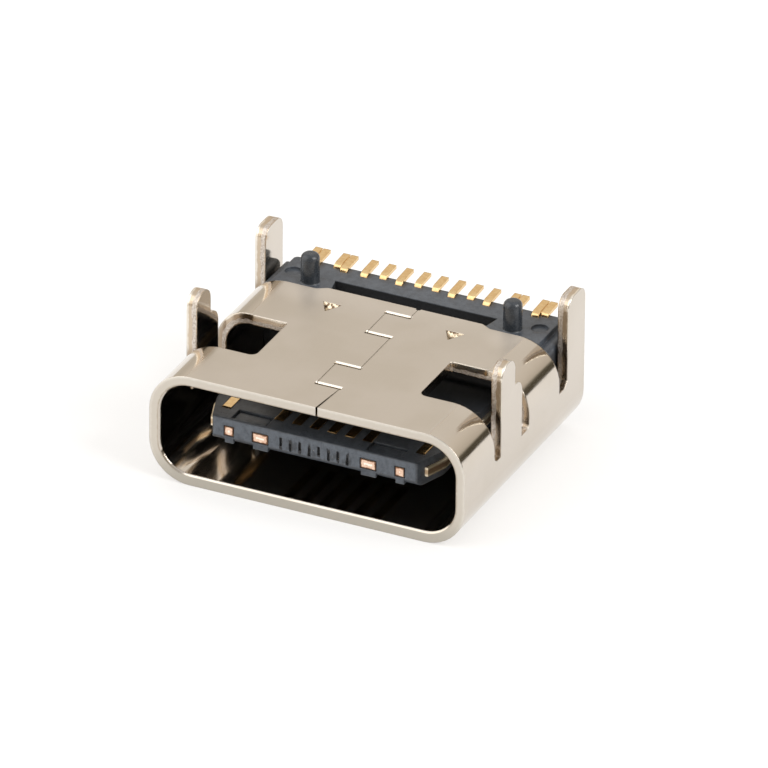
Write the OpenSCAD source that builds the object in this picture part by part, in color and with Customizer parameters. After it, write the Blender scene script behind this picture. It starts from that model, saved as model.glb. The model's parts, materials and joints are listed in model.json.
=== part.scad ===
// Board-mount USB-C socket with 16 contacts, four solder tabs and two locating pegs.
// Millimetres. The origin is the centre of the mouth. +Y runs into the socket, +Z points at the
// circuit board that it is soldered to, and +X is to the right when looking into the mouth.

/* [Mouth] */
// Width of the opening that takes the plug
mouth_w = 8.34; // [8.00:0.02:9.20]
// Height of the opening
mouth_h = 2.56; // [2.40:0.02:3.00]
// Radius of the opening's corners
mouth_r = 0.85; // [0.70:0.05:1.15]
// Chamfer that leads the plug into the opening
lead_in = 0.05; // [0.02:0.01:0.10]

/* [Shell] */
// Thickness of the shell's sheet steel
sheet_t = 0.30; // [0.20:0.01:0.40]
// Length of the shell from the mouth to its rear end
shell_len = 7.27; // [6.80:0.01:8.50]
// How far the board-side wall stops short of the rear end
roof_open = 1.37; // [1.25:0.01:1.60]
// Extra setback of that wall beside the pegs and round its corners
roof_step = 0.16; // [0.05:0.01:0.30]
// Half the width over which that wall keeps its full length
roof_mid_x = 2.20; // [1.60:0.05:2.45]

/* [Seam] */
// Gap of the seam's lengthwise runs
seam_gap = 0.02; // [0.01:0.01:0.06]
// Gap of the seam's crosswise runs
seam_end_gap = 0.08; // [0.04:0.01:0.12]
// Distance of the seam's right-hand runs from the centreline
seam_x = 0.38; // [0.20:0.02:0.60]
// Distance of the seam from the centreline at the mouth's rim
seam_mouth_x = 0.27; // [0.10:0.01:0.60]
// Gap of the seam at the mouth's rim
seam_mouth_gap = 0.06; // [0.03:0.01:0.10]
// Depth of the rounded-over edges at the seam's crosswise runs
seam_bevel = 0.04; // [0.02:0.01:0.08]
// How far each locking tongue reaches across
seam_jog = 0.68; // [0.40:0.02:0.90]
// Front edge of the first locking tongue
lock_y = 1.20; // [0.80:0.05:1.60]
// Width of a locking tongue
lock_w = 1.18; // [0.80:0.02:1.40]
// Pitch of the two locking tongues
lock_pitch = 3.01; // [2.50:0.01:3.20]

/* [Windows] */
// Front edge of the two windows that the front tabs are cut from
window_y = 1.78; // [1.40:0.02:1.95]
// Length of a window in the board-side wall
window_len = 1.95; // [1.80:0.01:2.30]
// How much further back a window reaches in the side wall
window_flare = 0.18; // [0.05:0.01:0.30]
// Distance of a window's inner edge from the centreline
window_x = 2.32; // [1.80:0.02:2.80]
// Depth of a window below the board face
window_drop = 1.50; // [1.35:0.01:1.75]
// Radius of a window's corners
window_r = 0.20; // [0.05:0.01:0.25]

/* [Solder tabs] */
// Reach of the solder tabs beyond the board face
tab_len = 1.06; // [0.60:0.02:2.00]
// Front edge of the front tabs
front_tab_y = 2.18; // [2.10:0.01:2.25]
// Width of a front tab at its tip
front_tab_w = 0.80; // [0.50:0.02:1.00]
// Width of a front tab at its foot
front_foot_w = 1.25; // [1.10:0.01:1.35]
// Reach of that foot beyond the board face
front_foot_len = 0.22; // [0.10:0.01:0.50]
// Radius of the foot's shoulder
front_foot_r = 0.40; // [0.10:0.01:0.44]
// Width of a rear tab
rear_tab_w = 1.03; // [0.80:0.01:1.10]
// Depth of the slot in front of a rear tab, below the board face
rear_slot_drop = 1.43; // [1.35:0.01:1.75]
// Chamfer at the foot of that slot
rear_slot_chamfer = 0.16; // [0.05:0.01:0.18]
// Radius of a rear tab's corners
rear_tab_r = 0.34; // [0.10:0.01:0.38]

/* [Punch marks] */
// Distance of a punch mark from the centreline
mark_x = 1.75; // [1.20:0.05:2.40]
// Setback of a punch mark's rear side from the rear edge of the board-side wall
mark_setback = 0.70; // [0.40:0.05:1.20]
// Width of a punch mark
mark_w = 0.54; // [0.30:0.02:0.60]
// Depth of a punch mark
mark_depth = 0.17; // [0.05:0.01:0.18]

/* [Tongue] */
// Distance of the tongue's tip behind the mouth
tongue_y = 0.45; // [0.30:0.01:0.80]
// Thickness of the tongue
tongue_t = 0.70; // [0.66:0.01:0.80]
// Full width of the tongue over the plate's edges
tongue_w = 6.60; // [6.40:0.02:6.90]
// Width of the tongue at its tip
tip_w = 5.94; // [5.92:0.02:6.30]
// Length over which the tip widens
tip_taper = 0.95; // [0.60:0.05:1.30]
// Length of the tongue's thick root in front of the cavity's back wall
root_len = 1.17; // [1.10:0.01:1.40]
// Thickness of the tongue's root
root_t = 1.26; // [1.00:0.02:1.40]
// Rounding of the tip's far edge
tip_r = 0.25; // [0.10:0.01:0.30]

/* [Mid plate] */
// Thickness of the plate in the middle of the tongue
plate_t = 0.25; // [0.14:0.01:0.26]
// How far the plate stands out of the tongue's sides
plate_rim = 0.08; // [0.02:0.01:0.12]
// Start of the plug's latch notch behind the tongue's tip
latch_y = 1.60; // [1.40:0.05:2.00]
// Length of that notch
latch_len = 1.30; // [0.90:0.05:1.60]
// Depth of that notch
latch_depth = 0.30; // [0.15:0.01:0.32]
// Distance of the plate's wide stubs from the centreline
wide_stub_x = 1.53; // [1.20:0.01:1.60]
// Width of a wide stub
wide_stub_w = 0.42; // [0.30:0.01:0.48]
// Distance of its narrow stubs from the centreline
narrow_stub_x = 2.42; // [2.20:0.01:2.55]
// Width of a narrow stub
narrow_stub_w = 0.24; // [0.15:0.01:0.28]
// Pitch of the eight slots that the contact strip's ends leave in the tongue's tip
slot_pitch = 0.27; // [0.24:0.01:0.28]

/* [Contacts] */
// Thickness of the contact strip
contact_t = 0.10; // [0.08:0.01:0.12]
// Width of a contact on the tongue
contact_w = 0.25; // [0.20:0.01:0.28]
// Pitch of the contacts and of the single tails
pitch = 0.50; // [0.48:0.01:0.50]
// Front ends of the contacts behind the tongue's tip
contact_setback = 0.46; // [0.40:0.01:0.60]
// How far the contacts stand above the tongue's faces
contact_proud = 0.02; // [0.01:0.01:0.03]
// Length of a contact that lies bare on the tongue
bare_len = 2.20; // [2.00:0.05:2.40]
// How far the contacts sink into the tongue behind that
sink_depth = 0.07; // [0.06:0.01:0.08]
// Width of a solder tail
tail_w = 0.20; // [0.16:0.01:0.22]
// Solder tail ends behind the shell's rear end
tail_reach = 0.53; // [0.30:0.01:1.00]
// Rise of a tail towards its end, in degrees
tail_rise = 2.5; // [0:0.5:4]
// Centre of the inner pair of tails from the centreline
inner_pair_x = 2.45; // [2.40:0.01:2.50]
// Centre of the outer pair of tails from the centreline
outer_pair_x = 3.25; // [3.20:0.01:3.30]
// Centre distance of the two tails of a pair
pair_split = 0.23; // [0.23:0.01:0.26]

/* [Housing] */
// Length of the moulded block behind the cavity, up to the shell's rear end
block_len = 1.15; // [1.10:0.01:1.40]
// Play between the block's rear face and the shell's rear end
block_inset = 0.02; // [0.00:0.01:0.10]
// Gap between the moulding's face and the circuit board
standoff = 0.14; // [0.12:0.01:0.20]
// Distance of the moulding's board-side face from the shell's side walls
deck_inset = 0.34; // [0.28:0.01:0.46]
// Play between the moulding's shoulders and those walls
shoulder_play = 0.06; // [0.03:0.01:0.12]
// Gap between that face and the shell's board-side wall
deck_gap = 0.05; // [0.02:0.01:0.10]
// Overhang of that face behind the shell's rear end
deck_overhang = 0.06; // [0.04:0.01:0.20]
// Width of the solid bar that the tails leave
bar_w = 0.76; // [0.70:0.01:0.85]
// Depth of the pocket in front of the bar
pocket_depth = 0.70; // [0.30:0.05:0.80]
// Diameter of the round ejector marks in the board-side face
ejector_d = 0.46; // [0.40:0.02:0.60]
// Distance of the ejector marks from that face's sides
ejector_inset = 0.31; // [0.28:0.01:0.35]
// Distance of the ejector marks from the shell's rear end
ejector_setback = 0.70; // [0.60:0.01:0.80]

/* [Locating pegs] */
// Distance of a peg from the centreline
peg_x = 2.89; // [2.75:0.01:3.00]
// Distance of the pegs' axes from the shell's rear end
peg_setback = 1.02; // [0.95:0.01:1.10]
// Diameter of a peg
peg_d = 0.50; // [0.40:0.01:0.60]
// Reach of the pegs beyond the board face
peg_len = 0.70; // [0.40:0.02:1.20]
// Fillet at the foot of a peg
peg_root_r = 0.05; // [0.03:0.01:0.08]

/* [Hidden] */
$fn = 48;

// Colours
nickel = [0.78, 0.75, 0.70];
moulding = [0.22, 0.24, 0.27];
copper = [0.78, 0.58, 0.38];
gold = [0.86, 0.70, 0.38];

// Shell
shell_w = mouth_w + 2*sheet_t;
shell_h = mouth_h + 2*sheet_t;
board_z = shell_h/2;                      // the plane of the circuit board
side_x = mouth_w/2;                       // inner face of a side wall
roof_y = shell_len - roof_open;           // rear edge of the board-side wall
roof_side_y = roof_y - roof_step;
tab_top = board_z + tab_len;
through = 2*sheet_t;                      // makes a cut run past both faces of the sheet
roof_slope_x = roof_mid_x + 0.28;         // end of the slope down to the wall's side parts
roof_r = 0.08;
seam_side = (seam_end_gap/2 + seam_bevel)*sqrt(2);
seam_notch_r = 0.07;                      // relief where the seam meets the rear edge
window_inner_r = 0.06;
window_bend_r = 0.50;
window_flare_r = 0.30;
front_pin_r = 0.49*front_tab_w;
front_crotch_r = 0.04;

// Tongue and its plate
plate_face = plate_t/2;
row_z = tongue_t/2 + contact_proud - contact_t/2;   // mid-plane of a contact row
carrier_face = row_z - contact_t/2;
wall_y = shell_len - block_len;           // the cavity's back wall
root_y = wall_y - root_len;
root_ramp = 0.15;                         // length over which the tongue thickens to its root
root_r = 0.10;
embed = 0.30;                             // reach of the tongue into the block
plate_embed = 0.25;                       // and of its plate
tip_corner_r = 0.10;
tip_edge_r = 0.05;
taper_r = 0.30;
latch_ramp = 0.30;
latch_front_r = 0.10;
latch_rear_r = 0.20;
plate_y = tongue_y + 0.30;                // front edge of the plate between its stubs
stub_len = 0.50;

// Contacts
contact_y = tongue_y + contact_setback;
nose_angle = 30;
nose_len = 0.10;
nose_r = 0.12;
sink_angle = 20;
bend_r = 0.15;
middle_number = 6.5;                      // contacts 1 to 12 lie evenly round this number
fan_y = root_y + 0.10;                    // the strips fan out between here
fan_end_y = shell_len - 0.85;             // and here
riser_b_y = shell_len - 0.17;
riser_a_y = riser_b_y + 0.11;             // row a rises behind row b
tail_end_y = shell_len + tail_reach;

// Carriers
carrier_w = 5.24;
comb_w = 2*(outer_pair_x + pair_split/2 + tail_w/2) + 0.20;
comb_y = root_y + 0.30;
comb_end_y = fan_end_y - 0.05;
comb_t = root_t/2 - 0.12;
comb_overlap = 0.20;                      // of the slab and the comb
lug_x = [1.40, 2.40];                     // inner and outer side of a lug
lug_y = tongue_y + 0.17;
lug_len = 0.38;
lug_gap = 0.05;

// Stubs of the plate in the tongue's tip, as [distance from the centreline, width]
stubs = [[wide_stub_x, wide_stub_w], [narrow_stub_x, narrow_stub_w]];
stub_gap = 0.03;
stub_pocket = 0.05;                       // depth of the relief round each stub
foot_setback = 0.02;                      // of the foot under each stub
foot_len = tip_r + 0.10;
foot_h = 0.20;

// Slots in the tongue's tip
slot_count = 8;
slot_w = 0.06;
slot_h = 0.24;
slot_depth = 0.05;
slot_stagger = 0.05;                      // by turns above and below the plate's mid-plane

// Housing
deck_w = mouth_w - 2*deck_inset;
shoulder_w = mouth_w - 2*shoulder_play;
deck_z = board_z - standoff;
deck_rear_y = shell_len + deck_overhang;
deck_front_r = 0.05;
deck_chamfer = 0.12;
bar_y = deck_rear_y - bar_w;
pocket_y = roof_side_y - 0.10;            // front of the pocket, under the wall
pocket_inset = 0.08;                      // from the lip's slope, so that the lip stays whole
pocket_end_x = roof_mid_x + 0.12;
block_relief = 0.06;                      // by which the block's corners are rounder
shoulder_r = 0.12;
ejector_x = deck_w/2 - ejector_inset;
ejector_depth = 0.06;
peg_tip_r = 0.6*peg_d/2;

// ---------- Outlines ----------

// Arc of radius r that rounds corner b of the outline a-b-c, in n steps.
function corner(a, b, c, r, n) =
    r <= 0 ? [b] :
    let (u = (a - b)/norm(a - b), v = (c - b)/norm(c - b),
         half = acos(u*v)/2,
         m = b + (u + v)/norm(u + v)*r/sin(half),
         p = b + u*r/tan(half) - m,
         q = b + v*r/tan(half) - m,
         from = atan2(p.y, p.x),
         turn = (atan2(q.y, q.x) - from + 540)%360 - 180)
    [for (i = [0:n]) m + r*[cos(from + turn*i/n), sin(from + turn*i/n)]];

// Outline from points [x, y] or [x, y, corner radius].
function rounded(pts, n = 6) =
    let (k = len(pts), xy = [for (p = pts) [p.x, p.y]])
    [for (i = [0:k - 1])
        each corner(xy[(i + k - 1)%k], xy[i], xy[(i + 1)%k], is_undef(pts[i][2]) ? 0 : pts[i][2], n)];

// Points repeated on the other side of the centreline, so that they close an outline.
function both_sides(pts) =
    let (k = len(pts)) concat(pts, [for (i = [k - 1:-1:0]) concat([-pts[i].x, pts[i].y],
        is_undef(pts[i][2]) ? [] : [pts[i][2]])]);

module rounded_rect(w, h, r) {
    square([w - 2*r, h], center = true);
    square([w, h - 2*r], center = true);
    for (x = [-1, 1], y = [-1, 1])
        translate([x*(w/2 - r), y*(h/2 - r)]) circle(r = r);
}

// Extrusions of an X-Z outline along +Y, a Y-Z outline across X, and an X-Y outline along +Z.
module along_y(from, to) {
    translate([0, to, 0]) rotate([90, 0, 0]) linear_extrude(to - from) children();
}
module across_x(from, to) {
    translate([from, 0, 0]) rotate([90, 0, 90]) linear_extrude(to - from) children();
}
module along_z(from, to) {
    translate([0, 0, from]) linear_extrude(to - from) children();
}
module mirrored_x() {
    children();
    mirror([1, 0, 0]) children();
}

// ---------- Shell ----------

// The tube that the sheet is folded into.
module shell_tube() {
    along_y(0, shell_len) difference() {
        rounded_rect(shell_w, shell_h, mouth_r + sheet_t);
        rounded_rect(mouth_w, mouth_h, mouth_r);
    }
}

// Rear edge of the board-side wall from its middle part to its side parts, set back by a gap.
function roof_edge(gap) = [
    [roof_mid_x, roof_y + gap, roof_r],
    [roof_slope_x, roof_side_y + gap, roof_r]
];

// Opening behind the board-side wall, down to the slot in front of the rear tabs.
module rear_opening() {
    along_z(board_z - rear_slot_drop, board_z + through) polygon(rounded(both_sides(concat(
        roof_edge(0),
        [[shell_w, roof_side_y], [shell_w, shell_len + through]]
    ))));
}

// Window through the board-side wall, the corner and the side wall.
module window() {
    rear_y = window_y + window_len;
    intersection() {
        along_z(0, board_z + through) polygon(rounded([
            [window_x, window_y, window_r],
            [shell_w, window_y],
            [shell_w, rear_y + window_flare],
            [side_x, rear_y + window_flare, window_flare_r],
            [side_x - mouth_r, rear_y, window_bend_r],
            [window_x, rear_y, window_inner_r]
        ]));
        across_x(0, shell_w) polygon(rounded([
            [window_y, board_z - window_drop, window_r],
            [rear_y + window_flare, board_z - window_drop, window_r],
            [rear_y + window_flare, shell_h],
            [window_y, shell_h]
        ]));
    }
}

// The seam: lengthwise runs joined by the crosswise ends of two locking tongues.
module seam() {
    near = seam_x;
    start = 2*seam_mouth_x - near;        // the slanted first run passes the rim at seam_mouth_x
    wide = seam_mouth_gap - seam_gap/2;   // and is seam_mouth_gap wide there
    far = seam_x - seam_jog;
    ends = [lock_y, lock_y + lock_w, lock_y + lock_pitch, lock_y + lock_pitch + lock_w];
    along_z(mouth_h/2 - through, board_z + through) {
        polygon([
            [start - wide, -lock_y],
            [start + wide, -lock_y],
            [near + seam_gap/2, lock_y],
            [near - seam_gap/2, lock_y]
        ]);
        for (i = [1:4]) {
            to = i == 4 ? roof_y + through : ends[i];
            translate([(i%2 == 0 ? near : far) - seam_gap/2, ends[i - 1]])
                square([seam_gap, to - ends[i - 1]]);
        }
        for (y = ends)
            translate([far - seam_end_gap/2, y - seam_end_gap/2])
                square([seam_jog + seam_end_gap, seam_end_gap]);
        translate([near, roof_y]) circle(r = seam_notch_r);
    }
    for (y = ends) translate([(near + far)/2, y, board_z]) rotate([45, 0, 0])
        cube([seam_jog + seam_end_gap, seam_side, seam_side], center = true);
}

// Flared cut that chamfers the mouth's inner edge: a cone in each corner and a wedge between them.
module mouth_flare() {
    long = mouth_w - 2*mouth_r;
    high = mouth_h - 2*mouth_r;
    mirrored_x() for (z = [-high/2, high/2])
        translate([long/2, -lead_in, z]) rotate([-90, 0, 0])
            cylinder(r1 = mouth_r + 2*lead_in, r2 = mouth_r, h = 2*lead_in);
    across_x(-long/2, long/2) polygon([
        [-lead_in, -mouth_h/2 - 2*lead_in],
        [lead_in, -mouth_h/2],
        [lead_in, mouth_h/2],
        [-lead_in, mouth_h/2 + 2*lead_in]
    ]);
    along_z(-high/2, high/2) polygon(both_sides([
        [mouth_w/2 + 2*lead_in, -lead_in],
        [mouth_w/2, lead_in]
    ]));
}

// Three-sided punch mark with its flat side to the rear.
module punch_mark() {
    side = mark_w;
    middle = side/(2*sqrt(3));
    slope = atan(mark_depth/middle);
    translate([0, roof_y - mark_setback - middle, board_z - mark_depth])
        intersection_for (a = [0, 120, 240])
            rotate([0, 0, a]) rotate([slope, 0, 0])
                translate([-side, -2*side, 0]) cube([2*side, 4*side, side]);
}

// Front solder tab: a broad foot with a shoulder and a round-ended pin.
module front_tab() {
    foot_top = board_z + front_foot_len;
    across_x(side_x, side_x + sheet_t) polygon(rounded([
        [front_tab_y, 0],
        [front_tab_y + front_foot_w, 0],
        [front_tab_y + front_foot_w, foot_top, front_foot_r],
        [front_tab_y + front_tab_w, foot_top, front_crotch_r],
        [front_tab_y + front_tab_w, tab_top, front_pin_r],
        [front_tab_y, tab_top, front_pin_r]
    ], 8));
}

// Rear solder tab, in line with the shell's rear end.
module rear_tab() {
    front = shell_len - rear_tab_w;
    floor_z = board_z - rear_slot_drop;
    across_x(side_x, side_x + sheet_t) polygon(rounded([
        [front - rear_slot_chamfer, floor_z],
        [front - rear_slot_chamfer, 0],
        [shell_len, 0],
        [shell_len, tab_top, rear_tab_r],
        [front, tab_top, rear_tab_r],
        [front, floor_z + rear_slot_chamfer]
    ]));
}

module shell() {
    color(nickel) {
        difference() {
            shell_tube();
            mouth_flare();
            rear_opening();
            mirrored_x() window();
            seam();
            for (x = [-mark_x, mark_x]) translate([x, 0, 0]) punch_mark();
        }
        mirrored_x() {
            front_tab();
            rear_tab();
        }
    }
}

// ---------- Tongue plan, shared by the moulding and the plate ----------

module tongue_plan(inset, from, to) {
    half = tongue_w/2 - inset;
    tip = tip_w/2 - inset;
    notch = tongue_y + latch_y;
    intersection() {
        polygon(rounded(both_sides([
            [tip, tongue_y, tip_corner_r],
            [half, tongue_y + tip_taper, taper_r],
            [half, notch],
            [half - latch_depth, notch, latch_front_r],
            [half - latch_depth, notch + latch_len, latch_rear_r],
            [half, notch + latch_len + latch_ramp, latch_rear_r],
            [half, shell_len]
        ])));
        translate([-tongue_w, from]) square([2*tongue_w, to - from]);
    }
}

// ---------- Mid plate ----------

module mid_plate() {
    color(copper) along_z(-plate_face, plate_face) {
        tongue_plan(0, plate_y, wall_y + plate_embed);
        for (stub = stubs, side = [-1, 1])
            translate([side*stub[0] - stub[1]/2, tongue_y]) square([stub[1], stub_len]);
    }
}

// ---------- Contacts ----------

// A strip drawn in side view, one run or bend after another.
module run(length) {
    translate([0, -contact_t/2]) square([length, contact_t]);
    translate([length, 0]) children();
}
module bend(angle, r) {
    side = sign(angle);
    reach = 1.5*(r + contact_t);
    translate([0, side*r]) {
        intersection() {
            difference() {
                circle(r = r + contact_t/2);
                circle(r = r - contact_t/2);
            }
            polygon(concat([[0, 0]],
                [for (k = [0:2]) let (a = -90*side + angle*k/2) reach*[cos(a), sin(a)]]));
        }
        rotate(angle) translate([0, -side*r]) children();
    }
}

// Side view of a contact: a nose that dips into the tongue, the bare run along it, a slope into
// the plastic, a covered run, the riser and the tail.
// Row b lies on the face towards the board (side = 1) and row a on the far face (side = -1).
module contact_side_view(side, riser_y) {
    nose_rise = nose_len*sin(nose_angle) + nose_r*(1 - cos(nose_angle));
    nose_run = nose_len*cos(nose_angle) + nose_r*sin(nose_angle);
    slope_len = (sink_depth - 2*nose_r*(1 - cos(sink_angle)))/sin(sink_angle);
    slope_run = slope_len*cos(sink_angle) + 2*nose_r*sin(sink_angle);
    sunk_z = side*(row_z - sink_depth);
    tail_start_y = riser_y + bend_r*(1 - sin(tail_rise));
    tail_len = (tail_end_y - tail_start_y)/cos(tail_rise);
    tail_bend_z = board_z - (contact_t/2 + bend_r)*cos(tail_rise) - tail_len*sin(tail_rise);
    translate([contact_y, side*(row_z - nose_rise)]) rotate(side*nose_angle)
        run(nose_len)
        bend(-side*nose_angle, nose_r)
        run(bare_len)
        bend(-side*sink_angle, nose_r)
        run(slope_len)
        bend(side*sink_angle, nose_r)
        run(riser_y - bend_r - contact_y - nose_run - bare_len - slope_run)
        bend(90, bend_r)
        run(tail_bend_z - sunk_z - bend_r)
        bend(tail_rise - 90, bend_r)
        run(tail_len);
}

// Plan view of a contact: from its place on the tongue, fanned out to the place of its tail.
module contact_plan(x, tail_x) {
    polygon([
        [x - contact_w/2, contact_y - 1], [x + contact_w/2, contact_y - 1],
        [x + contact_w/2, fan_y], [tail_x + tail_w/2, fan_end_y],
        [tail_x + tail_w/2, tail_end_y + 1], [tail_x - tail_w/2, tail_end_y + 1],
        [tail_x - tail_w/2, fan_end_y], [x - contact_w/2, fan_y]
    ]);
}

module contact(side, x, tail_x) {
    color(gold) intersection() {
        across_x(-shell_w/2, shell_w/2) contact_side_view(side, side > 0 ? riser_b_y : riser_a_y);
        along_z(-shell_h, shell_h) contact_plan(x, tail_x);
    }
}

// Each row as [number, tail position]. The tails of a row a and a row b contact pair up at the ends.
function tail_pairs(split) = [
    [1, -outer_pair_x + split], [4, -inner_pair_x + split],
    [9, inner_pair_x - split], [12, outer_pair_x - split]
];
row_a = concat(tail_pairs(-pair_split/2),
    [[5, -2.5*pitch], [6, -0.5*pitch], [7, 0.5*pitch], [8, 2.5*pitch]]);
row_b = concat(tail_pairs(pair_split/2),
    [[5, -3.5*pitch], [6, -1.5*pitch], [7, 1.5*pitch], [8, 3.5*pitch]]);

// Row b counts from the left and row a from the right.
module contact_a(number) {
    for (c = row_a) if (c[0] == number) contact(-1, (middle_number - number)*pitch, -c[1]);
}
module contact_b(number) {
    for (c = row_b) if (c[0] == number) contact(1, (number - middle_number)*pitch, c[1]);
}
module all_contacts_a() {
    for (c = row_a) contact_a(c[0]);
}
module all_contacts_b() {
    for (c = row_b) contact_b(c[0]);
}

// ---------- Contact carriers ----------

// Strip of plastic that a row is first moulded into, whole: a slab between the row and the plate,
// two lugs that show in the tongue's face, and a comb that grips the row where it fans out.
module carrier_block(side) {
    low = plate_face;
    mirror([0, 0, side > 0 ? 0 : 1]) {
        translate([-carrier_w/2, lug_y, low])
            cube([carrier_w, comb_y - lug_y + comb_overlap, carrier_face - low]);
        for (x = [-lug_x[1], lug_x[0]])
            translate([x + lug_gap, lug_y, low])
                cube([lug_x[1] - lug_x[0] - 2*lug_gap, lug_len, tongue_t/2 - lug_gap - low]);
        translate([-comb_w/2, comb_y, low]) cube([comb_w, comb_end_y - comb_y, comb_t - low]);
    }
}
module carrier_a() {
    color(moulding) difference() {
        carrier_block(-1);
        all_contacts_a();
    }
}
module carrier_b() {
    color(moulding) difference() {
        carrier_block(1);
        all_contacts_b();
    }
}

// ---------- Housing ----------

// Side view of the tongue: thin over the contacts, thicker at its root.
module tongue_side_view() {
    polygon(rounded([
        [tongue_y, tongue_t/2, tip_edge_r],
        [root_y, tongue_t/2, root_r],
        [root_y + root_ramp, root_t/2, root_r],
        [wall_y + embed, root_t/2],
        [wall_y + embed, -root_t/2],
        [root_y + root_ramp, -root_t/2, root_r],
        [root_y, -tongue_t/2, root_r],
        [tongue_y, -tongue_t/2, tip_r]
    ]));
}

// Block that closes the shell behind the cavity. Its flats bear on the shell's walls, and its
// corners are rounder than the shell's, so that they clear them.
module block() {
    along_y(wall_y, shell_len - block_inset) rounded_rect(mouth_w, mouth_h, mouth_r + block_relief);
}

// Face towards the board, with a thin lip that reaches forward over the cavity.
module deck() {
    half = deck_w/2;
    along_z(mouth_h/2, deck_z) polygon(rounded(both_sides(concat(
        roof_edge(deck_gap),
        [[half, roof_side_y + deck_gap, deck_front_r], [half, deck_rear_y, deck_chamfer]]
    ))));
    along_z(-tongue_t, deck_z) polygon(both_sides([
        [half, wall_y],
        [half, deck_rear_y - deck_chamfer],
        [half - deck_chamfer, deck_rear_y]
    ]));
}

// Shoulders that fill the shell's corners where the board-side wall is cut away. In front of the
// back wall they leave the cavity clear.
module shoulders() {
    half = shoulder_w/2;
    front = roof_side_y + deck_gap;
    difference() {
        along_y(front, shell_len - block_inset) polygon(rounded([
            [-half, 0], [half, 0], [half, mouth_h/2, shoulder_r], [-half, mouth_h/2, shoulder_r]
        ]));
        along_y(front - 1, wall_y) rounded_rect(mouth_w, mouth_h, mouth_r);
    }
}

// Shallow round marks of the ejector pins.
module ejector_marks() {
    for (x = [-ejector_x, ejector_x])
        translate([x, shell_len - ejector_setback, deck_z - ejector_depth])
            cylinder(d = ejector_d, h = standoff);
}

// Openings in the tongue: one round each carrier lug, and a relief round each stub of the plate.
module tongue_openings() {
    for (side = [-1, 1], x = [-lug_x[1], lug_x[0]])
        translate([x, lug_y - lug_gap, side > 0 ? carrier_face : -tongue_t])
            cube([lug_x[1] - lug_x[0], lug_len + 2*lug_gap, tongue_t - carrier_face]);
    for (stub = stubs, side = [-1, 1])
        translate([side*stub[0], tongue_y, 0])
            cube([stub[1] + 2*stub_gap, 2*stub_pocket, plate_t + 2*stub_gap], center = true);
}

// Slots left in the tongue's tip where the strip that carried the contacts was cut off.
module tip_slots() {
    for (i = [0:slot_count - 1]) {
        x = slot_pitch*(i - (slot_count - 1)/2);
        z = slot_stagger*(i%2 == 0 ? 1 : -1);
        translate([x, tongue_y, z]) cube([slot_w, 2*slot_depth, slot_h], center = true);
    }
}

// Feet under the stubs, which keep the tip's far edge square there.
module stub_feet() {
    for (stub = stubs, side = [-1, 1])
        translate([side*stub[0] - stub[1]/2, tongue_y + foot_setback, -tongue_t/2])
            cube([stub[1], foot_len, foot_h]);
}

// Pocket between the shell's board-side wall and the bar.
module pocket() {
    along_z(deck_z - pocket_depth, board_z) polygon(both_sides([
        [roof_mid_x - pocket_inset, pocket_y],
        [pocket_end_x, bar_y]
    ]));
}

// Locating peg with a rounded tip and a fillet where it leaves the deck.
module peg() {
    foot = deck_z - mouth_h/2;
    height = sheet_t + peg_len;
    translate([peg_x, shell_len - peg_setback, mouth_h/2]) rotate_extrude() {
        square([peg_d/2, height - peg_tip_r]);
        square([peg_d/2 - peg_tip_r, height]);
        translate([peg_d/2 - peg_tip_r, height - peg_tip_r]) intersection() {
            circle(r = peg_tip_r);
            square(peg_tip_r);
        }
        difference() {
            square([peg_d/2 + peg_root_r, foot + peg_root_r]);
            translate([peg_d/2 + peg_root_r, foot + peg_root_r]) circle(r = peg_root_r);
        }
    }
}

module housing() {
    color(moulding) difference() {
        union() {
            intersection() {
                along_z(-root_t, root_t) tongue_plan(plate_rim, tongue_y, wall_y + embed);
                across_x(-tongue_w, tongue_w) tongue_side_view();
            }
            stub_feet();
            block();
            deck();
            shoulders();
            mirrored_x() peg();
        }
        pocket();
        mid_plate();
        carrier_block(-1);
        carrier_block(1);
        all_contacts_a();
        all_contacts_b();
        tongue_openings();
        tip_slots();
        ejector_marks();
    }
}

// ---------- Nodes ----------

shell();
housing();
carrier_a();
carrier_b();
mid_plate();
contact_a(1);  // contact_a1
contact_a(4);  // contact_a4
contact_a(5);  // contact_a5
contact_a(6);  // contact_a6
contact_a(7);  // contact_a7
contact_a(8);  // contact_a8
contact_a(9);  // contact_a9
contact_a(12);  // contact_a12
contact_b(1);  // contact_b1
contact_b(4);  // contact_b4
contact_b(5);  // contact_b5
contact_b(6);  // contact_b6
contact_b(7);  // contact_b7
contact_b(8);  // contact_b8
contact_b(9);  // contact_b9
contact_b(12);  // contact_b12
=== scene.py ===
"""Looks of the USB-C socket: materials, light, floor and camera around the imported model."""
import json
import math

import bpy
from mathutils import Matrix, Vector


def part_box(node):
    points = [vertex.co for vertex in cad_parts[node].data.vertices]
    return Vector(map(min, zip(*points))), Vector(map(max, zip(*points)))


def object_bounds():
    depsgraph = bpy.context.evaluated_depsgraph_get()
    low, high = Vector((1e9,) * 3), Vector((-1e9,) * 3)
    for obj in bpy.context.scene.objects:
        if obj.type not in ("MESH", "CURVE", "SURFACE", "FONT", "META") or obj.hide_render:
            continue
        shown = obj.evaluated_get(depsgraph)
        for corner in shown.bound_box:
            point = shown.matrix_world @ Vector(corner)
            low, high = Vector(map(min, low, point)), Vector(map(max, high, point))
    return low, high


MM = 0.001

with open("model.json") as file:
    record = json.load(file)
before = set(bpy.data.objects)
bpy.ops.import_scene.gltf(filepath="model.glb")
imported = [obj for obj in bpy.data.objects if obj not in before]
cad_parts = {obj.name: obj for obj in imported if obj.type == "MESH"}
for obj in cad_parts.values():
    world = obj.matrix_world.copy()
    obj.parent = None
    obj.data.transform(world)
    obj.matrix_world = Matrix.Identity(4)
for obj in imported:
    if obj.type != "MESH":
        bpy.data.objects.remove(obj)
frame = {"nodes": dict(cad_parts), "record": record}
cad_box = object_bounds()


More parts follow.
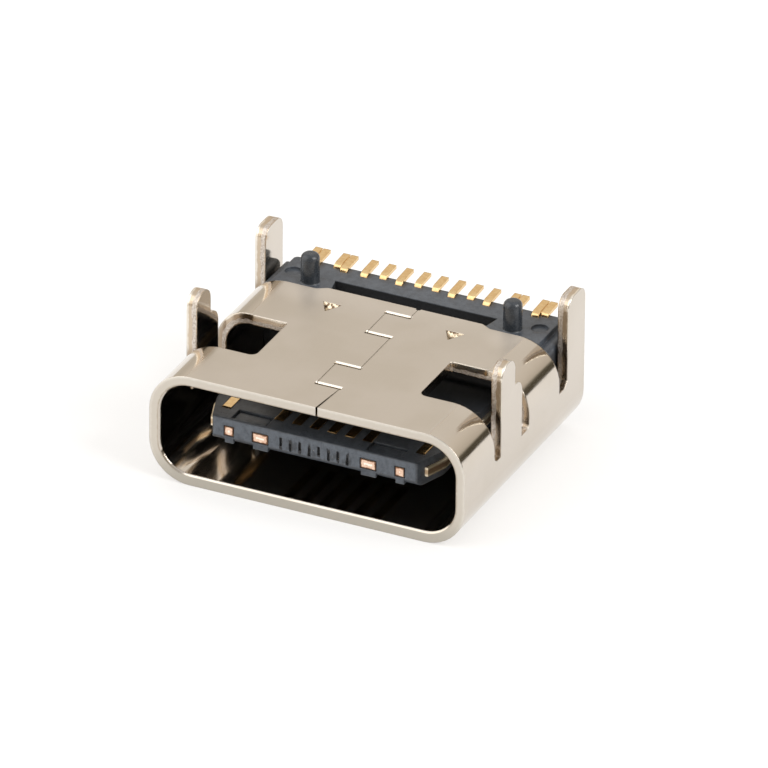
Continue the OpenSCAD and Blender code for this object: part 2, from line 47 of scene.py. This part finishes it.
# ---------- Camera ----------

def place_camera(azimuth, elevation, roll, distance, target, lens):
    """Looks at target from azimuth (round +Z, from -Y) and elevation, all in degrees."""
    az, el, ro = (math.radians(angle) for angle in (azimuth, elevation, roll))
    back = Vector((math.sin(az) * math.cos(el), -math.cos(az) * math.cos(el), math.sin(el)))
    level = Vector((math.cos(az), math.sin(az), 0))
    upright = back.cross(level)
    right = level * math.cos(ro) + upright * math.sin(ro)
    up = upright * math.cos(ro) - level * math.sin(ro)
    data = bpy.data.cameras.new("camera")
    data.lens = lens
    data.sensor_width = 36
    data.clip_start = 0.01
    data.clip_end = 20
    camera = bpy.data.objects.new("camera", data)
    bpy.context.collection.objects.link(camera)
    turn = Matrix((right, up, back)).transposed().to_4x4()
    camera.matrix_world = Matrix.Translation(target + back * distance) @ turn
    bpy.context.scene.camera = camera


place_camera(
    azimuth=25.015,
    elevation=28.896,
    roll=0.595,
    distance=374.46 * MM,
    target=Vector((0.026, 4.588, -0.065)) * MM,
    lens=680.4,
)


# ---------- Node helpers ----------

def rgb(red, green, blue):
    return (red, green, blue, 1.0)


class Shader:
    """A material's node tree, with short ways to add nodes. Lengths in it are millimetres."""

    def __init__(self, name):
        self.material = bpy.data.materials.new(name)
        self.material.use_nodes = True
        self.tree = self.material.node_tree
        self.tree.nodes.clear()
        output = self.tree.nodes.new("ShaderNodeOutputMaterial")
        self.bsdf = self.tree.nodes.new("ShaderNodeBsdfPrincipled")
        self.link(self.bsdf.outputs[0], output.inputs[0])
        place = self.tree.nodes.new("ShaderNodeTexCoord").outputs["Object"]
        self.mm = self.stretch(place, [1 / MM] * 3)

    def link(self, source, target):
        self.tree.links.new(source, target)

    def fill(self, socket, value):
        """Links a node's output to the socket, or sets the socket to a plain value."""
        if isinstance(value, bpy.types.NodeSocket):
            self.link(value, socket)
        else:
            socket.default_value = value

    def stretch(self, vector, factors):
        node = self.tree.nodes.new("ShaderNodeVectorMath")
        node.operation = "MULTIPLY"
        self.fill(node.inputs[0], vector)
        self.fill(node.inputs[1], factors)
        return node.outputs[0]

    def split(self, vector):
        node = self.tree.nodes.new("ShaderNodeSeparateXYZ")
        self.fill(node.inputs[0], vector)
        return node.outputs

    def math(self, operation, *values):
        node = self.tree.nodes.new("ShaderNodeMath")
        node.operation = operation
        for socket, value in zip(node.inputs, values):
            self.fill(socket, value)
        return node.outputs[0]

    def times(self, first, *others):
        for value in others:
            first = self.math("MULTIPLY", first, value)
        return first

    def plus(self, a, b):
        return self.math("ADD", a, b)

    def minus(self, a, b):
        return self.math("SUBTRACT", a, b)

    def share(self, a, b):
        """a in units of b."""
        return self.math("DIVIDE", a, b)

    def most(self, a, b):
        return self.math("MAXIMUM", a, b)

    def size(self, value):
        return self.math("ABSOLUTE", value)

    def reach(self, a, b):
        """Length of the diagonal over a and b."""
        squares = self.plus(self.math("POWER", a, 2.0), self.math("POWER", b, 2.0))
        return self.math("SQRT", squares)

    def over(self, value, limit):
        return self.math("GREATER_THAN", value, limit)

    def under(self, value, limit):
        return self.math("LESS_THAN", value, limit)

    def between(self, value, low, high):
        return self.times(self.over(value, low), self.under(value, high))

    def blend(self, factor, a, b):
        """The number a where factor is 0, b where it is 1."""
        node = self.tree.nodes.new("ShaderNodeMix")
        for socket, value in zip((node.inputs[0], node.inputs[2], node.inputs[3]), (factor, a, b)):
            self.fill(socket, value)
        return node.outputs[0]

    def mix(self, factor, a, b):
        """The colour a where factor is 0, b where it is 1."""
        node = self.tree.nodes.new("ShaderNodeMix")
        node.data_type = "RGBA"
        for socket, value in zip((node.inputs[0], node.inputs[6], node.inputs[7]), (factor, a, b)):
            self.fill(socket, value)
        return node.outputs[2]

    def ramp(self, value, low, high, to_low=0.0, to_high=1.0):
        """Smooth step from to_low at low to to_high at high."""
        node = self.tree.nodes.new("ShaderNodeMapRange")
        node.interpolation_type = "SMOOTHSTEP"
        for socket, number in zip(node.inputs, (value, low, high, to_low, to_high)):
            self.fill(socket, number)
        return node.outputs[0]

    def noise(self, per_mm, detail, rough=0.5, stretch=(1, 1, 1)):
        """Cloudy value of 0 to 1 that changes about per_mm times a millimetre."""
        node = self.tree.nodes.new("ShaderNodeTexNoise")
        self.fill(node.inputs["Vector"], self.stretch(self.mm, stretch))
        node.inputs["Scale"].default_value = per_mm
        node.inputs["Detail"].default_value = detail
        node.inputs["Roughness"].default_value = rough
        return node.outputs["Fac"]

    def facing(self):
        """How far the flat surface faces along X, Y and Z, each 0 to 1."""
        normal = self.tree.nodes.new("ShaderNodeNewGeometry").outputs["True Normal"]
        return [self.size(part) for part in self.split(normal)]

    def surface(self, color, metallic, roughness, **others):
        self.fill(self.bsdf.inputs["Base Color"], color)
        self.fill(self.bsdf.inputs["Metallic"], metallic)
        self.fill(self.bsdf.inputs["Roughness"], roughness)
        for name, value in others.items():
            self.fill(self.bsdf.inputs[name.replace("_", " ")], value)

    def relief(self, height, depth, edge):
        """Bump of a height in 0..1 over a depth in mm, on edges rounded to a radius in mm."""
        bump = self.tree.nodes.new("ShaderNodeBump")
        bump.inputs["Strength"].default_value = 1.0
        bump.inputs["Distance"].default_value = depth * MM
        self.fill(bump.inputs["Height"], height)
        bevel = self.tree.nodes.new("ShaderNodeBevel")
        bevel.samples = 6
        bevel.inputs["Radius"].default_value = edge * MM
        self.link(bevel.outputs[0], bump.inputs["Normal"])
        self.link(bump.outputs[0], self.bsdf.inputs["Normal"])


# Parts of a noise's range that a ramp spreads over 0 to 1
MIDDLE = (0.3, 0.7)
NARROW = (0.35, 0.65)

FACES = 0.5                   # a face looks along an axis where its normal's part is over this
SKIN = 0.01                   # mm, how far a mask reaches past the face that it is for


# ---------- Nickel-plated steel ----------

# The folded sheet, mm
shell_low, shell_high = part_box("shell")
SHEET = 0.30
BEND = 1.15                   # outer radius
HALF_WIDTH = shell_high[0] / MM
HALF_HEIGHT = -shell_low[2] / MM
RIM_UNTIL = 0.005             # along Y
CUTS_FROM = 0.06              # along Y, past the mouth's lead-in
ROOF_REAR = 5.90
ROOF_FADE = (0.25, 0.0)       # past the start of a bend

# Solder tabs, mm: the spans along Y that hold them, and where they are clear of the bends
FRONT_TAB = (2.00, 3.60)
REAR_TAB = (6.10, 7.40)
TAB_SIDE = HALF_WIDTH - SHEET - 0.02
TAB_FOOT = HALF_HEIGHT - BEND

# Punch marks, mm
MARK_ACROSS = (1.40, 2.40)
MARK_ALONG = (4.50, 5.30)
MARK_UP = (HALF_HEIGHT - 0.20, HALF_HEIGHT - 0.003)

# Board side, mm: a patch of painted light beside each locating peg, which hides the peg's dark
# reflection, and duller plating towards them
PEG_SIDE = 2.89
PEG_SHEEN_SHIFT = 0.30
PEG_SHEEN_ALONG = 5.45
PEG_SHEEN_FADE = (0.85, 0.15)
PEG_DULL_LENGTH = 1.2

# The flat board side looks up at least this squarely, the sides of a punch mark at most so
FLAT_FACING = 0.995
MARK_FACING = 0.9

# Bands across the sheet's thickness, 0 outside and 1 inside
INNER_FACE = (0.97, 1.03)
RIM_FACE_FROM = (0.15, 0.45)
RIM_INSIDE_FROM = (0.80, 0.97)
SHEARED_FROM = (0.30, 0.45)
TORN_FROM = (0.70, 0.80)
TORN_UNTIL = (1.16, 1.08)

# How far noise moves those bands, in sheets
RIM_RAGGED = 0.25
CUT_RAGGED = 0.4

# Heights over which colours change, mm: painted shade under the rim and deeper down the slots
RIM_UNDER_FROM = (-0.6, -1.4)
SLOT_DEEP_FROM = (HALF_HEIGHT - 0.3, HALF_HEIGHT - 0.7)

PLATE = (rgb(0.64, 0.585, 0.52), rgb(0.61, 0.555, 0.485))
PLATE_PAINTED_LIGHT_BESIDE_PEG = rgb(0.71, 0.65, 0.58)
# The rim: a painted highlight on its outer edge, its own tone, painted reflection along its inner
# edge, painted shade underneath
RIM_EDGE_PAINTED_HIGHLIGHT = rgb(0.69, 0.65, 0.585)
RIM_FACE = rgb(0.60, 0.55, 0.48)
RIM_INSIDE_PAINTED_REFLECTION = rgb(0.46, 0.39, 0.31)
RIM_UNDER_PAINTED_SHADE = rgb(0.48, 0.445, 0.385)
BURNISHED = rgb(0.84, 0.78, 0.69)
SHEARED = rgb(0.58, 0.48, 0.37)
# Painted shade on cut faces deeper down the slots
SLOT_PAINTED_SHADE = rgb(0.20, 0.14, 0.09)
TORN = (rgb(0.44, 0.37, 0.31), rgb(0.80, 0.74, 0.68))
PUNCHED = (rgb(0.12, 0.08, 0.05), rgb(0.74, 0.62, 0.46))
SLOT_DEEP_SHARE = 0.5
TORN_SPECKS = (0.40, 0.58)
PUNCHED_SPECKS = (0.46, 0.62)

GLOSSY = (0.08, 0.14)
SATIN = (0.37, 0.41)
PEG_DULL = 0.25
RIM_ROUGH = 0.30
CUT_ROUGH = (0.12, 0.42)
CUT_RELIEF = 12.0             # times the relief of drawn sheet
DRAWN = (1.0, 0.10, 1.0)      # stretches the grain along Y


class Sheet:
    """Where a point lies on the folded sheet. All but depth are masks of 0 to 1."""

    def __init__(self, s):
        across, along, up = s.facing()
        x, y, z = s.split(s.mm)
        side = s.size(x)
        tab = s.most(s.between(y, *FRONT_TAB), s.between(y, *REAR_TAB))
        tab = s.times(tab, s.over(side, TAB_SIDE), s.over(z, TAB_FOOT))

        # Depth under the outer face in sheets, measured square to the wall, bend or tab
        past_x = s.most(s.minus(side, HALF_WIDTH - BEND), 0.0)
        past_z = s.most(s.minus(s.size(z), HALF_HEIGHT - BEND), 0.0)
        bent = s.minus(BEND, s.reach(past_x, past_z))
        straight = s.minus(HALF_WIDTH, side)
        self.depth = s.share(s.blend(tab, bent, straight), SHEET)
        self.inner = s.between(self.depth, *INNER_FACE)

        # The mouth's rim, and the faces that were cut behind its lead-in
        crosswise = s.over(along, FACES)
        cut = s.most(crosswise, s.times(tab, s.under(across, FACES)))
        self.rim = s.times(s.under(y, RIM_UNTIL), crosswise)
        self.cut = s.times(cut, s.over(y, CUTS_FROM))

        # The flat board side, and its parts near the pegs
        outer = s.times(s.under(self.depth, 0.5), s.over(up, FLAT_FACING))
        self.flat = s.times(s.ramp(past_x, *ROOF_FADE), outer)
        self.toward_pegs = s.ramp(y, ROOF_REAR - PEG_DULL_LENGTH, ROOF_REAR)
        # Painted light: a lighter patch on the flat beside each peg
        off_x = s.minus(s.size(s.minus(x, PEG_SHEEN_SHIFT)), PEG_SIDE)
        off_y = s.minus(y, PEG_SHEEN_ALONG)
        self.painted_light_beside_peg = s.times(self.flat, s.ramp(s.reach(off_x, off_y), *PEG_SHEEN_FADE))

        place = s.times(s.between(z, *MARK_UP), s.between(y, *MARK_ALONG))
        self.mark = s.times(place, s.between(side, *MARK_ACROSS), s.under(up, MARK_FACING))


def nickel():
    """Satin board side with painted light beside the pegs, glossy walls, a rim with a painted
    highlight on its outer edge, painted reflection along its inner edge and painted shade
    underneath, and burnished and torn cut faces with painted shade deeper down the slots.
    """
    s = Shader("nickel_plated_steel")
    sheet = Sheet(s)
    z = s.split(s.mm)[2]
    grain = s.noise(per_mm=9, detail=4, rough=0.6, stretch=DRAWN)
    speck = s.noise(per_mm=30, detail=3, rough=0.7)
    cloud = s.noise(per_mm=0.6, detail=3)
    scrape = s.noise(per_mm=9, detail=3, rough=0.6)

    plate = s.mix(s.ramp(cloud, *NARROW), *PLATE)
    # Painted light beside each peg
    plate = s.mix(sheet.painted_light_beside_peg, plate, PLATE_PAINTED_LIGHT_BESIDE_PEG)
    # Rim bands with ragged edges: painted highlight outside, painted reflection inside, painted
    # shade towards the bottom
    ragged_rim_depth = s.plus(sheet.depth, s.times(s.noise(per_mm=7, detail=3), RIM_RAGGED))
    rim = s.mix(s.ramp(ragged_rim_depth, *RIM_FACE_FROM), RIM_EDGE_PAINTED_HIGHLIGHT, RIM_FACE)
    rim = s.mix(s.ramp(ragged_rim_depth, *RIM_INSIDE_FROM), rim, RIM_INSIDE_PAINTED_REFLECTION)
    rim = s.mix(s.ramp(z, *RIM_UNDER_FROM), rim, RIM_UNDER_PAINTED_SHADE)
    plate = s.mix(sheet.rim, plate, rim)

    burr = s.plus(sheet.depth, s.times(s.noise(per_mm=5, detail=3), CUT_RAGGED))
    torn = s.times(s.ramp(burr, *TORN_FROM), s.ramp(burr, *TORN_UNTIL))
    sheared = s.mix(s.ramp(burr, *SHEARED_FROM), BURNISHED, SHEARED)
    # Painted shade: cut faces darken deeper down the slots
    deep = s.ramp(z, *SLOT_DEEP_FROM, 0.0, SLOT_DEEP_SHARE)
    sheared = s.mix(deep, sheared, SLOT_PAINTED_SHADE)
    cut = s.mix(torn, sheared, s.mix(s.ramp(speck, *TORN_SPECKS), *TORN))
    punched = s.mix(s.ramp(scrape, *PUNCHED_SPECKS), *PUNCHED)
    color = s.mix(sheet.mark, s.mix(sheet.cut, plate, cut), punched)

    satin = s.plus(s.ramp(grain, *MIDDLE, *SATIN), s.times(sheet.toward_pegs, PEG_DULL))
    smooth = s.blend(sheet.flat, s.ramp(grain, *MIDDLE, *GLOSSY), satin)
    smooth = s.blend(sheet.rim, smooth, RIM_ROUGH)
    cut_rough = s.ramp(torn, 0.0, 1.0, *CUT_ROUGH)
    s.surface(color, 1.0, s.blend(sheet.cut, smooth, cut_rough))

    worked = s.times(s.most(sheet.cut, sheet.mark), speck, CUT_RELIEF)
    drawn = s.times(grain, s.minus(1.0, sheet.inner))
    s.relief(s.plus(drawn, worked), depth=0.0002, edge=0.05)
    return s.material


# ---------- Moulding ----------

# The tongue's tip, mm
TONGUE_FRONT = 0.45
TONGUE_HALF = 0.35            # half its thickness
FEET_UNTIL = TONGUE_FRONT + 0.10
FEET_BELOW = -0.99 * TONGUE_HALF
SLOT_PITCH = 0.27
SLOTS_HALF = 1.10             # half the whole row
SLOTS_UNTIL = TONGUE_FRONT + 0.06
SLOT_EDGE = (0.055, 0.015)    # from a slot's middle
SLOT_END = (0.34, 0.26)
EDGE_RAGGED = 0.10
END_RAGGED = 0.30

# The block behind the cavity, mm
DECK = HALF_HEIGHT - 0.14
POCKET_FLOOR = DECK - 0.68
POCKET_HALF = 2.35
POCKET_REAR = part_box("housing")[1][1] / MM - 0.74
CAVITY_FROM = (1.1, 2.0)
CAVITY_TOP = (1.20, 1.0)
DECK_BAND = 0.02              # the deck's edge, neither pocket nor peg

RESIN = (rgb(0.048, 0.057, 0.071), rgb(0.078, 0.091, 0.110))
RESIN_TIP_PAINTED_LIGHT = rgb(0.12, 0.14, 0.17)
RESIN_FOOT_PAINTED_HIGHLIGHT = rgb(0.38, 0.39, 0.41)
RESIN_PEG_PAINTED_SHADE = rgb(0.012, 0.014, 0.016)
# Painted shade for the hollows, also used over the tongue's slots
HOLLOW_PAINTED_SHADE = rgb(0.012, 0.012, 0.013)
PIT_PAINTED_SHADE = rgb(0.006, 0.006, 0.007)
PAINTED_GLINT = rgb(0.50, 0.42, 0.36)

TIP_SHARE = (0.15, 0.65)
CAVITY_SHARE = 0.75
POCKET_SHARE = 0.85
DARKER_PATCH_SHARE = 0.55
PEG_SHARE = 0.55
PAINTED_GLINTS = (0.70, 0.76)
DARKER_PATCHES = (0.50, 0.62)

RESIN_ROUGH = (0.26, 0.42)
PEG_ROUGH = (0.18, 0.30)
HOLLOW_ROUGH = 0.65
RESIN_RELIEF = 0.05
PIT_RELIEF = 0.8


def moulding():
    """Cloudy dark resin with painted shade in its hollows and on the pegs, painted light on the
    tongue's front face, a painted highlight on the feet under the stubs, and slots in the tongue's
    front with painted shade, painted glints and darker patches.
    """
    s = Shader("moulding")
    x, y, z = s.split(s.mm)
    side = s.size(x)
    ragged = s.noise(per_mm=9, detail=3, rough=0.7, stretch=(1.0, 1.0, 0.6))
    fine = s.noise(per_mm=25, detail=4, rough=0.6)
    cloud = s.noise(per_mm=6, detail=4, rough=0.65)
    glint_noise = s.noise(per_mm=11, detail=2, rough=0.6)
    patch_noise = s.noise(per_mm=4, detail=2, stretch=(1.0, 1.0, 0.7))

    color = s.mix(s.ramp(cloud, *MIDDLE), *RESIN)
    # Painted light on the tongue's front face, with a ragged edge
    painted_light_on_tip = s.times(s.under(y, TONGUE_FRONT + SKIN), s.ramp(ragged, *NARROW, *TIP_SHARE))
    color = s.mix(painted_light_on_tip, color, RESIN_TIP_PAINTED_LIGHT)

    # Painted shade: darker in the cavity inside the shell and in the pocket behind the deck
    cavity = s.times(s.ramp(y, *CAVITY_FROM), s.ramp(z, *CAVITY_TOP))
    below_deck = s.between(z, POCKET_FLOOR, DECK - DECK_BAND)
    pocket = s.times(below_deck, s.under(side, POCKET_HALF), s.under(y, POCKET_REAR))
    shade = s.most(s.times(cavity, CAVITY_SHARE), s.times(pocket, POCKET_SHARE))
    color = s.mix(shade, color, HOLLOW_PAINTED_SHADE)
    # Painted highlight on the feet under the stubs
    painted_highlight_on_feet = s.times(s.under(y, FEET_UNTIL), s.under(z, FEET_BELOW))
    color = s.mix(painted_highlight_on_feet, color, RESIN_FOOT_PAINTED_HIGHLIGHT)

    # Slots across the front, each with a ragged edge and end, painted shade inside, painted
    # glints, and random darker patches in the painted-shade colour
    cell = s.math("FRACT", s.share(x, SLOT_PITCH))
    across = s.times(s.size(s.minus(cell, 0.5)), SLOT_PITCH)
    edge = s.plus(across, s.times(s.minus(ragged, 0.5), EDGE_RAGGED))
    end = s.plus(s.size(z), s.times(ragged, END_RAGGED))
    slots = s.times(s.under(y, SLOTS_UNTIL), s.under(side, SLOTS_HALF), s.ramp(end, *SLOT_END))
    pit = s.times(slots, s.ramp(edge, *SLOT_EDGE))
    color = s.mix(pit, color, PIT_PAINTED_SHADE)
    color = s.mix(s.times(slots, s.ramp(glint_noise, *PAINTED_GLINTS)), color, PAINTED_GLINT)
    darker_patches = s.times(slots, s.ramp(patch_noise, *DARKER_PATCHES), DARKER_PATCH_SHARE)
    color = s.mix(darker_patches, color, HOLLOW_PAINTED_SHADE)

    # Painted shade: the pegs are darker than the rest of the moulding
    peg = s.over(z, DECK + DECK_BAND)
    color = s.mix(s.times(peg, PEG_SHARE), color, RESIN_PEG_PAINTED_SHADE)
    rough = s.blend(peg, s.ramp(fine, *MIDDLE, *RESIN_ROUGH), s.ramp(fine, *MIDDLE, *PEG_ROUGH))
    s.surface(color, 0.0, s.blend(shade, rough, HOLLOW_ROUGH))
    height = s.minus(s.times(fine, RESIN_RELIEF), s.times(pit, PIT_RELIEF))
    s.relief(height, depth=0.04, edge=0.04)
    return s.material


# ---------- Copper alloy and gold ----------

# The plate in the tongue, mm: half its thickness, and each stub's place and half width
PLATE_HALF = 0.125
STUBS = ((1.53, 0.21), (2.42, 0.12))

COPPER = (rgb(0.86, 0.62, 0.47), rgb(0.78, 0.52, 0.38))
STUB_PAINTED_HIGHLIGHT = rgb(0.98, 0.88, 0.76)
STUB_PAINTED_SHADE = rgb(0.20, 0.10, 0.06)
RAIL_TO_PAINTED_HIGHLIGHT = (rgb(0.55, 0.40, 0.25), rgb(0.98, 0.86, 0.66))
COPPER_RAGGED = 0.5
STUB_CORE_FROM = (0.30, 0.12)
STUB_OUTLINE_FROM = (0.70, 0.88)
RAIL_EDGE_FROM = (0.35, 0.75)
STUB_ROUGH = (0.18, 0.28)
RAIL_ROUGH = 0.42

GOLD = (rgb(0.80, 0.58, 0.30), rgb(0.74, 0.50, 0.24))
GOLD_ROUGH = (0.10, 0.18)


def copper():
    """The plate in the tongue: peach stubs with a painted highlight along the middle and painted
    shade at their edges, sides with painted highlights on their edges.
    """
    s = Shader("copper_alloy")
    x, y, z = s.split(s.mm)
    grain = s.noise(per_mm=12, detail=3)
    front = s.under(y, TONGUE_FRONT + SKIN)

    # 0 on the middle of the plate or stub, 1 at its edge
    off = s.share(s.size(z), PLATE_HALF)
    for centre, half in STUBS:
        near = s.size(s.minus(s.size(x), centre))
        beside = s.plus(s.share(s.minus(near, half), PLATE_HALF), 1.0)
        on_stub = s.times(s.under(near, half + SKIN), front)
        off = s.blend(on_stub, off, s.most(off, beside))
    ragged = s.plus(off, s.times(s.minus(grain, 0.5), COPPER_RAGGED))
    stub = s.mix(s.ramp(grain, *NARROW), *COPPER)
    # Painted highlight along the middle of each stub, painted shade at its edges
    stub = s.mix(s.ramp(ragged, *STUB_CORE_FROM), stub, STUB_PAINTED_HIGHLIGHT)
    stub = s.mix(s.ramp(ragged, *STUB_OUTLINE_FROM), stub, STUB_PAINTED_SHADE)
    # Painted highlights on the plate's side edges
    rail = s.mix(s.ramp(ragged, *RAIL_EDGE_FROM), *RAIL_TO_PAINTED_HIGHLIGHT)
    rough = s.blend(front, RAIL_ROUGH, s.ramp(grain, *MIDDLE, *STUB_ROUGH))
    s.surface(s.mix(front, rail, stub), 1.0, rough)
    s.relief(grain, depth=0.0008, edge=0.03)
    return s.material


def gold():
    """Bright plating with a little grain, over every contact."""
    s = Shader("gold_plated_contact")
    grain = s.noise(per_mm=10, detail=3)
    s.surface(s.mix(s.ramp(grain, *NARROW), *GOLD), 1.0, s.ramp(grain, *MIDDLE, *GOLD_ROUGH))
    s.relief(grain, depth=0.0006, edge=0.03)
    return s.material


finishes = {
    "nickel_plated_steel": nickel(),
    "moulding": moulding(),
    "copper_alloy": copper(),
    "gold_plated_contact": gold(),
}
for part in frame["record"]["subparts"]:
    piece = frame["nodes"][part["node"]]
    piece.data.materials.clear()
    piece.data.materials.append(finishes[part["material_slot"]])


# ---------- Floor and light ----------

FLOOR_GAP = 0.01 * MM
FLOOR_HALF = 3.0
FLOOR_COLOR = rgb(0.50, 0.50, 0.50)
FLOOR_ROUGH = 0.9
FLOOR_GLOW = 0.47
WHITE = rgb(1.0, 1.0, 1.0)

# The studio's colours by the sine of the elevation
STUDIO = (
    (0.00, rgb(0.09, 0.078, 0.055)),
    (0.16, rgb(0.11, 0.096, 0.068)),
    (0.21, rgb(0.68, 0.62, 0.53)),
    (0.48, rgb(0.88, 0.81, 0.72)),
    (1.00, rgb(0.96, 0.96, 0.96)),
)

# The left wall shows no colour from below this sine; it begins and ends at these X
LIT_WALL = 0.21
LIT_WALL_FROM = (0.10, -0.35)

# A dimmer patch: its middle, the cosines off the middle where it begins and ends, its level
DIM_PATCH = Vector((0.35, -0.80, 0.48)).normalized()
DIM_PATCH_FROM = (0.70, 0.92)
DIM_PATCH_LEVEL = 0.62

LIGHT_TARGET = Vector((0, 0.004, 0))


def make_floor(height, half):
    corners = [(-half, -half), (half, -half), (half, half), (-half, half)]
    mesh = bpy.data.meshes.new("floor")
    mesh.from_pydata([(x, y, height) for x, y in corners], [], [(0, 1, 2, 3)])
    floor = bpy.data.objects.new("floor", mesh)
    bpy.context.collection.objects.link(floor)
    s = Shader("floor")
    glow = {"Emission_Color": WHITE, "Emission_Strength": FLOOR_GLOW}
    s.surface(FLOOR_COLOR, 0.0, FLOOR_ROUGH, **glow)
    mesh.materials.append(s.material)


def make_world():
    """Studio walls and ceiling, dark at the horizon except at the left, with a dimmer patch."""
    world = bpy.data.worlds.new("studio")
    bpy.context.scene.world = world
    world.use_nodes = True
    tree = world.node_tree

    def node(kind, *values, operation=None):
        made = tree.nodes.new(kind)
        if operation:
            made.operation = operation
        for socket, value in zip(made.inputs, values):
            if isinstance(value, bpy.types.NodeSocket):
                tree.links.new(value, socket)
            else:
                socket.default_value = value
        return made

    toward = tree.nodes.new("ShaderNodeTexCoord").outputs["Generated"]
    split = node("ShaderNodeSeparateXYZ", toward)
    wall = node("ShaderNodeMapRange", split.outputs[0], *LIT_WALL_FROM, 0.0, LIT_WALL)
    level = node("ShaderNodeMath", split.outputs[2], wall.outputs[0], operation="MAXIMUM")
    ramp = node("ShaderNodeValToRGB", level.outputs[0])
    while len(ramp.color_ramp.elements) < len(STUDIO):
        ramp.color_ramp.elements.new(0.5)
    for element, (position, color) in zip(ramp.color_ramp.elements, STUDIO):
        element.position = position
        element.color = color
    off = node("ShaderNodeVectorMath", toward, DIM_PATCH, operation="DOT_PRODUCT")
    dim = node("ShaderNodeMapRange", off.outputs["Value"], *DIM_PATCH_FROM, 1.0, DIM_PATCH_LEVEL)
    lit = node("ShaderNodeVectorMath", ramp.outputs[0], operation="SCALE")
    tree.links.new(dim.outputs[0], lit.inputs["Scale"])
    tree.links.new(lit.outputs[0], tree.nodes["Background"].inputs[0])


def make_area_light(name, place, size, power):
    """Square soft light that faces the object."""
    data = bpy.data.lights.new(name, "AREA")
    data.size = size
    data.energy = power
    lamp = bpy.data.objects.new(name, data)
    bpy.context.collection.objects.link(lamp)
    lamp.location = place
    lamp.rotation_euler = (LIGHT_TARGET - Vector(place)).to_track_quat("-Z", "Y").to_euler()


make_floor(cad_box[0][2] - FLOOR_GAP, FLOOR_HALF)
make_world()
make_area_light("key", place=(0.55, -0.05, 0.38), size=0.40, power=2.6)
make_area_light("fill", place=(-0.45, -0.28, 0.32), size=0.80, power=2.2)
bpy.context.scene.view_settings.view_transform = "Standard"
